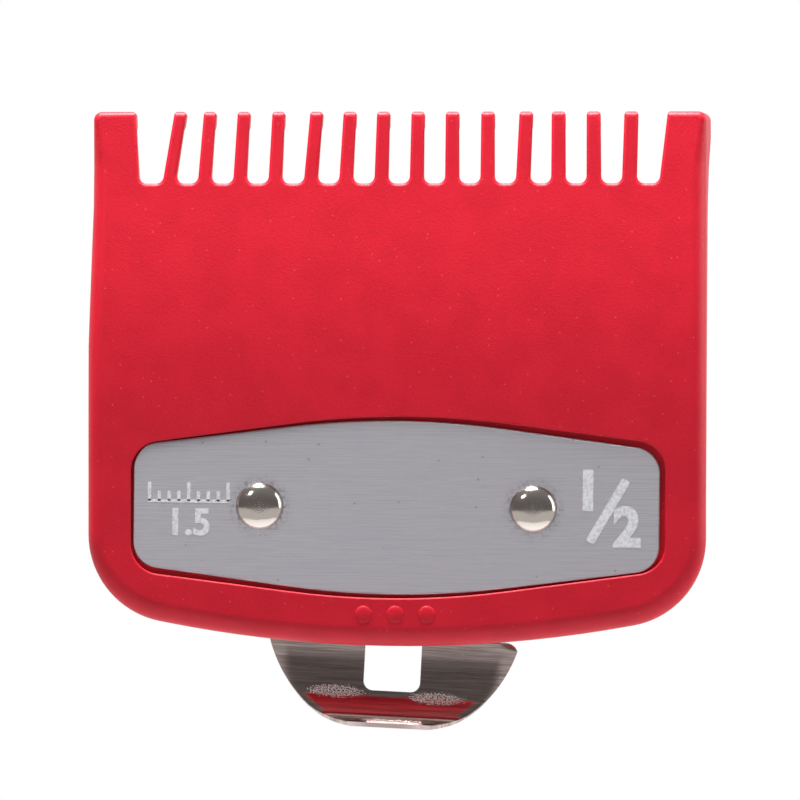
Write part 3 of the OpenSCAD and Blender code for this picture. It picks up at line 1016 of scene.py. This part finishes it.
def lay_uv(piece: Object, rule: Callable[[Vector], Point]) -> None:
    """Lay a UV map on a piece by a rule from a vertex's place."""
    layer = piece.data.uv_layers.active or piece.data.uv_layers.new(name="surface")
    for loop in piece.data.loops:
        layer.data[loop.index].uv = rule(piece.data.vertices[loop.vertex_index].co)


@dataclass
class SizeMarks(Piece):
    """The etched size marks: a plain half at the right, and a ruled scale over its measure at the left."""

    plate: BadgePlate
    # How far the marks stand on the plate, and half their thickness.
    lift: float = 0.004
    film: float = 0.003
    # The scale: its ticks, their spacing, width and heights, and where the first one's foot is.
    ticks: int = 9
    tick_pitch: float = 0.775
    tick: float = 0.27
    tick_heights: Point = (1.5, 0.8)
    scale_foot: Point = (-19.5, 0.35)

    def settle(
        self, piece: Object, name: str, middle: Point, turn: float = 0.0
    ) -> Object:
        """Stand a flat mark up on the plate's face.

        Args:
            piece: The mark, flat in X and Y about the origin, in millimetres.
            name: Its name.
            middle: Where its origin goes, in the plate's own frame.
            turn: A further turn, clockwise seen from outside.

        Returns:
            The mark.
        """
        piece.name = piece.data.name = name
        spot = self.plate.place
        own = Place(0.0, 0.0, turn)
        for vertex in piece.data.vertices:
            flat = own.put((vertex.co.x, vertex.co.y), 0.0) / MM
            depth = self.plate.front_y - self.lift - vertex.co.z
            vertex.co = spot.put((middle[0] + flat.x, middle[1] + flat.z), depth)
        face_outwards(piece)
        return piece

    def numeral(self, text: str, size: float, stroke: float) -> Object:
        """Set plain numerals as a thin mesh, centred on the origin, with their strokes thickened."""
        deselect_everything()
        bpy.ops.object.text_add(location=(0, 0, 0))
        sign = bpy.context.object
        sign.data.body = text
        sign.data.size = size
        sign.data.align_x = "CENTER"
        sign.data.align_y = "CENTER"
        sign.data.offset = stroke * size
        sign.data.extrude = self.film
        bpy.ops.object.convert(target="MESH")
        return bpy.context.object

    def bar(self, width: float, height: float) -> Object:
        """Loft one thin bar with rounded ends, centred on the origin."""
        r = min(width, height) * 0.3
        signs = ((-1, -1), (1, -1), (1, 1), (-1, 1))
        points = rounded([(sx * width / 2, sz * height / 2, r) for sx, sz in signs])
        return loft("bar", [[Vector((x, z, depth)) for x, z in points] for depth in (-self.film, self.film)])

    def join(self, pieces: list[Object], name: str) -> Object:
        """Join marks into one piece."""
        pick(pieces[0])
        for piece in pieces[1:]:
            piece.select_set(True)
        bpy.ops.object.join()
        pieces[0].name = pieces[0].data.name = name
        return pieces[0]

    def build(self, material: Material) -> None:
        """Make both marks."""
        half = [
            self.settle(self.numeral("1", 4.2, 0.05), "mark_part", (15.1, 1.35)),
            self.settle(self.bar(0.72, 5.7), "mark_part", (16.7, -0.1), 30.0),
            self.settle(self.numeral("2", 4.2, 0.045), "mark_part", (18.2, -1.5)),
        ]
        self.dress(self.join(half, "mark_half"), material, "root", [], None)
        left, foot = self.scale_foot
        long = (self.ticks - 1) * self.tick_pitch
        scale = [self.settle(self.bar(long + self.tick, self.tick), "mark_part", (left + long / 2, foot))]
        for k in range(self.ticks):
            tall = self.tick_heights[0 if k % 4 == 0 else 1]
            spot = (left + self.tick_pitch * k, foot + tall / 2)
            scale.append(self.settle(self.bar(self.tick, tall), "mark_part", spot))
        scale.append(self.settle(self.numeral("1.5", 2.9, 0.03), "mark_part", (left + long / 2, -1.4)))
        self.dress(self.join(scale, "mark_measure"), material, "root", [], None)


@dataclass
class Rivet(Piece):
    """One rivet: domed head on the plate, shank, and formed tail on the clip's base."""

    plate: BadgePlate
    side: Side
    # Looks only: the head is 0.11 wider than the CAD's, and its crown is flattened.
    head_d: float = 3.76
    head_h: float = 0.9
    shank_d: float = 2.2
    tail_d: float = 3.3
    tail_h: float = 0.5
    tail_y: float = -0.7

    def profile(self) -> list[Point]:
        """Radius and depth from the head's crown to the tail, with the crown a little flattened."""
        head_r, front = self.head_d / 2, self.plate.front_y
        points = [(0.02, front - self.head_h)]
        for k in range(1, 25):
            a = math.pi / 2 * k / 24
            r = head_r * math.sin(a)
            points.append((r, front - self.head_h * (1 - (r / head_r) ** 2.5) ** 0.56))
        tail_r, tail, end = self.tail_d / 2, self.tail_y, self.tail_y + self.tail_h
        points += [(head_r - 0.05, front), (self.shank_d / 2, front + 0.001), (self.shank_d / 2, tail)]
        points += [(tail_r - 0.06, tail + 0.001), (tail_r, tail + 0.08), (tail_r - 0.2, tail + 0.38)]
        points += [(tail_r - 0.42, end), (0.6, end), (0.4, end - 0.1), (0.02, tail + 0.36)]
        return points

    def build(self, material: Material) -> Object:
        """Turn the rivet's profile round its axis, and mark every point's distance from it."""
        name = f"headed_rivet_{self.side.name.lower()}"
        middle = self.plate.rivet_centre(self.side, 0) / MM
        place = Place(middle.x, middle.z)
        piece = loft(name, [place.ring(circle(r, 64), y) for r, y in self.profile()])
        smooth(piece, 50)
        far = piece.data.attributes.new("from_axis", "FLOAT", "POINT")
        for vertex in piece.data.vertices:
            offset = vertex.co / MM - middle
            far.data[vertex.index].value = math.hypot(offset.x, offset.z)
        # The head's shadow is turned off, because these lamps would lay it on the plate as a dark wedge.
        # A real rivet does throw one.
        piece.visible_shadow = False
        return self.dress(piece, material, "root", [f"rivet_{self.side.name.lower()}"], Slot.RIVET)


@dataclass
class SpringClip(Piece):
    """The one-piece spring clip: riveted base, riser, catch, and lever with its window and curled lip."""

    sheet_t: float = 0.4
    sheet_y: float = -0.9
    base_w: float = 28.5
    base_top: float = 5.4
    base_shoulder: float = -5.3
    base_bottom: float = -8.4
    base_corner: float = 2.0
    shoulder_r: float = 0.6
    riser_w: float = 15.0
    bends: tuple[tuple[float, float, float], ...] = (
        (0.0, 96.0, 0.9),
        (1.3, 54.0, 0.9),
        (0.25, -140.0, 0.85),
        (0.35, -18.0, 18.0),
        (0.1, -14.0, 1.2),
        (1.35, -42.0, 1.4),
        (0.25, 0.0, 1.0),
    )
    wing_top: float = -10.2
    wing_half: float = 9.92
    wing_corner: float = 1.0
    side_r: float = 11.6
    side_x: float = 1.2
    side_z: float = -7.5
    lip_r: float = 23.0
    lip_z: float = -17.45
    # Looks only: how sharp the corner between side and lip is.
    lip_soft: float = 7.0
    window: tuple[float, float, float, float] = (4.5, -14.52, -9.2, 0.75)
    window_depths: Point = (2.6, 7.0)
    edge: float = 0.06
    span_mm: float = 40.0
    place: Place = Place(0.02, -10.34, 3.0)

    def walk(self, step: float = 0.11) -> list[tuple[float, float, float]]:
        """Stations [y, z, heading in radians] along the bent sheet, from the riser's foot to the lip."""
        y, z, heading = self.sheet_y, self.base_bottom, -math.pi / 2
        stations = [(y, z, heading)]
        for run, degrees, r in self.bends:
            count = math.ceil(run / step)
            for k in range(count):
                far = run * (k + 1) / count
                stations.append((y + far * math.cos(heading), z + far * math.sin(heading), heading))
            y, z = y + run * math.cos(heading), z + run * math.sin(heading)
            turn = math.radians(degrees)
            if turn == 0:
                continue
            way = math.copysign(1, turn)
            cy, cz = y - way * r * math.sin(heading), z + way * r * math.cos(heading)
            count = max(4, math.ceil(abs(turn) * r / step))
            for k in range(count):
                a = heading + turn * (k + 1) / count
                stations.append((cy + way * r * math.sin(a), cz - way * r * math.cos(a), a))
            heading += turn
            y, z = stations[-1][0], stations[-1][1]
        return stations

    def lever_half(self, z: float) -> float:
        """Half width of the lever at a height z, on the stretch from the crest to the lip."""
        if z > self.wing_top:
            return self.riser_w / 2
        into = min(self.wing_corner, self.wing_top - z)
        corner = self.wing_half - self.wing_corner
        corner += math.sqrt(max(0.0, self.wing_corner**2 - (self.wing_corner - into) ** 2))
        side = math.sqrt(self.side_r**2 - (z - self.side_z) ** 2) - self.side_x
        rise = z - self.lip_z
        lip = math.sqrt(max(0.01, self.lip_r**2 - (self.lip_r - rise) ** 2)) if rise > 0 else 0.1
        # The side runs into the lip on a soft corner.
        soft = (side**-self.lip_soft + lip**-self.lip_soft) ** (-1 / self.lip_soft)
        return min(corner, soft)

    def base_stations(self) -> list[tuple[float, float, float, float]]:
        """Stations [y, z, heading, half width] down the flat base to the riser's foot."""
        half, r, down = self.base_w / 2, self.base_corner, -math.pi / 2
        q, riser, shoulder = self.shoulder_r, self.riser_w / 2, self.base_shoulder
        rows = [(self.base_top - r * inwards, half - r * left) for inwards, left in rounding(8)]
        rows += [(shoulder + r * left, half - r * inwards) for inwards, left in rounding(8)]
        rows += [(shoulder - 0.002 - q * inwards, riser + q * left) for inwards, left in rounding(6)]
        rows += [(-6.8, riser), (-7.6, riser)]
        return [(self.sheet_y, z, down, w) for z, w in rows]

    def stations(self) -> list[tuple[float, float, float, float]]:
        """All stations of the sheet, [y, z, heading, half width]."""
        rows = self.base_stations()
        lever = self.walk()
        crest = max(range(len(lever)), key=lambda i: lever[i][1] if lever[i][0] > 2 else -99.0)
        for i, (y, z, heading) in enumerate(lever):
            if i <= crest or z > self.wing_top:
                rows.append((y, z, heading, self.riser_w / 2))
                continue
            if lever[i - 1][1] > self.wing_top:
                part = (lever[i - 1][1] - self.wing_top) / (lever[i - 1][1] - z)
                at = [p + (q - p) * part for p, q in zip(lever[i - 1], lever[i])]
                rows.append((at[0], at[1], at[2], self.riser_w / 2))
                for into in (0.002, 0.03, 0.1):
                    level = self.wing_top - into
                    rows.append((at[0], level, at[2], self.lever_half(level)))
            rows.append((y, z, heading, self.lever_half(z)))
        return rows

    def section(self, half: float) -> list[Point]:
        """One cross-section of the sheet, [x, t], with its cut edges a little rounded."""
        across, t = 16, self.sheet_t / 2
        inner = half - self.edge
        front = [(inner * (2 * k / across - 1), -t) for k in range(across + 1)]
        bevel_x, bevel_t = inner + self.edge * 0.7, t - self.edge * 0.3
        side = [(bevel_x, -bevel_t), (half, -t + self.edge), (half, t - self.edge), (bevel_x, bevel_t)]
        back = [(inner * (1 - 2 * k / across), t) for k in range(across + 1)]
        return front + side + back + [(-x, -q) for x, q in side]

    def build(self, material: Material, plate: BadgePlate) -> Object:
        """Loft the bent sheet, and punch its window and holes."""
        rows = self.stations()
        lengths = [0.0]
        for a, b in zip(rows, rows[1:]):
            lengths.append(lengths[-1] + math.hypot(b[0] - a[0], b[1] - a[1]))
        LOG.info("strip length %.2f mm", lengths[-1])
        rings = []
        for y, z, heading, half in rows:
            ring = [
                self.place.put((x, z + t * math.cos(heading)), y - t * math.sin(heading))
                for x, t in self.section(half)
            ]
            rings.append(ring)
        piece = loft("pressed_spring_clip", rings)
        self.lay_strip_uv(piece, rings, lengths, rows)
        width, low, high, r = self.window
        x = width / 2
        hole = rounded([(-x, low, r), (x, low, r), (x, high, r), (-x, high, r)])
        combine(piece, loft("window_cutter", [self.place.ring(hole, y) for y in self.window_depths]))
        plate.punch_rivet_holes(piece, -2.0, 0.5)
        smooth(piece, 40)
        self.dress(piece, material, None, ["clip_base", "clip_lever"], Slot.SPRING)
        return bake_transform(piece)

    def lay_strip_uv(
        self,
        piece: Object,
        rings: list[Ring],
        lengths: list[float],
        rows: list[tuple[float, float, float, float]],
    ) -> None:
        """Lay the flat strip's own coordinates on the bent sheet as a UV map.

        Args:
            piece: The lofted sheet.
            rings: Its rings.
            lengths: Length along the strip at each ring.
            rows: The stations, with each ring's half width.
        """
        where: dict[tuple[int, int, int], Point] = {}
        for ring, length, row in zip(rings, lengths, rows):
            for spot, (x, _) in zip(ring, self.section(row[3])):
                key = (round(spot.x * 1e7), round(spot.y * 1e7), round(spot.z * 1e7))
                where[key] = (x / self.span_mm + 0.5, length / self.span_mm)

        def flat(co: Vector) -> Point:
            """Look a vertex up by its place."""
            key = (round(co.x * 1e7), round(co.y * 1e7), round(co.z * 1e7))
            for dx in (0, -1, 1):
                for dy in (0, -1, 1):
                    for dz in (0, -1, 1):
                        found = where.get((key[0] + dx, key[1] + dy, key[2] + dz))
                        if found is not None:
                            return found
            return (0.5, 0.5)

        lay_uv(piece, flat)


# ---- The studio ----


@dataclass
class Studio:
    """Camera, soft lights, white surroundings and a pale floor."""

    azimuth: float = 2.5
    lens: float = 570.0
    distance: float = 1.0
    aim: tuple[float, float, float] = (0.00023, -0.0025, -0.0017)
    floor_z: float = -0.6
    floor_r: float = 0.8
    # Each softbox: its name, its place and its side in metres, and its watts.
    lamps: tuple[tuple[str, tuple[float, float, float], float, float], ...] = (
        ("overhead_softbox", (-0.1, -0.058, 0.95), 0.36, 33.0),
        ("front_softbox", (-0.55, -0.75, 0.7), 0.2, 1.2),
        ("side_softbox", (0.9, 0.1, 0.3), 0.8, 5.0),
    )

    def camera(self) -> None:
        """Stand the camera in front of the plate, a little to its right."""
        turn = math.radians(self.azimuth)
        back = Vector((math.sin(turn), -math.cos(turn), 0.0))
        deselect_everything()
        bpy.ops.object.camera_add(location=Vector(self.aim) + back * self.distance)
        camera = bpy.context.object
        camera.rotation_euler = (-back).to_track_quat("-Z", "Y").to_euler()
        camera.data.lens = self.lens
        camera.data.clip_start, camera.data.clip_end = 0.01, 20.0
        bpy.context.scene.camera = camera

    def lamp(self, name: str, spot: Sequence[float], size: float, watts: float) -> None:
        """Hang one square softbox that faces the comb."""
        deselect_everything()
        bpy.ops.object.light_add(type="AREA", location=spot)
        lamp = bpy.context.object
        lamp.name = name
        lamp.rotation_euler = (Vector(self.aim) - Vector(spot)).to_track_quat("-Z", "Y").to_euler()
        lamp.data.size = size
        lamp.data.energy = watts

    def surroundings(self) -> None:
        """White for the camera; for the comb, a bright table below, a dim room in front, white behind."""
        world = bpy.data.worlds.new("studio")
        bpy.context.scene.world = world
        world.use_nodes = True
        world.node_tree.nodes.clear()
        add = partial(add_node, world.node_tree)
        way = add("TexCoord", out="Generated")
        parts = add("SeparateXYZ", (way,), "Z")
        table = add("MapRange", (parts, -0.14, -0.04, 0.52, 0.12), **EASED)
        ceiling = add("MapRange", (parts, 0.2, 0.75, 0.0, 0.06), **EASED)
        front = add("Math", (table, ceiling), operation="ADD")
        behind = add("MapRange", (parts.node.outputs["Y"], -0.05, 0.2, 0.0, 0.92), **EASED)
        strength = add("Math", (front, behind), operation="MAXIMUM")
        room = add("Background", {"Color": linear("#fffdfb"), "Strength": strength})
        white = add("Background", {"Color": linear("#ffffff"), "Strength": 1.0})
        seen = add("LightPath", out="Is Camera Ray")
        add("OutputWorld", (add("MixShader", (seen, room, white)),))

    def floor(self) -> None:
        """Lay the pale floor below the comb, out of the front view."""
        rim = [Vector((x, y, 0)) * self.floor_r for x, y in circle(1.0, 96)]
        rings = [[p + Vector((0, 0, self.floor_z - d)) for p in rim] for d in (0.0, 0.004)]
        floor = loft("studio_floor", rings)
        floor.data.materials.append(StudioPaper().make())

    def build(self) -> None:
        """Set up the whole studio."""
        scene = bpy.context.scene
        scene.view_settings.view_transform = "Standard"
        self.camera()
        self.surroundings()
        self.floor()
        for lamp in self.lamps:
            self.lamp(*lamp)


def main() -> None:
    """Build the studio and the comb's pieces in order."""
    logging.basicConfig(level=logging.INFO, format="%(name)s: %(message)s")
    Studio().build()
    plate, clip = BadgePlate(), SpringClip()
    centres = tuple(tuple(plate.rivet_centre(side, plate.front_y)) for side in Side)
    CombMoulding().build(MouldedNylon().make(), plate, clip)
    plate.build(BrushedSteel(rivets=centres).make())
    SizeMarks(plate).build(EtchedMark().make())
    nickel = PolishedNickel().make()
    for side in Side:
        Rivet(plate, side).build(nickel)
    clip.build(RolledSpringSteel().make(), plate)


if __name__ == "__main__":
    main()
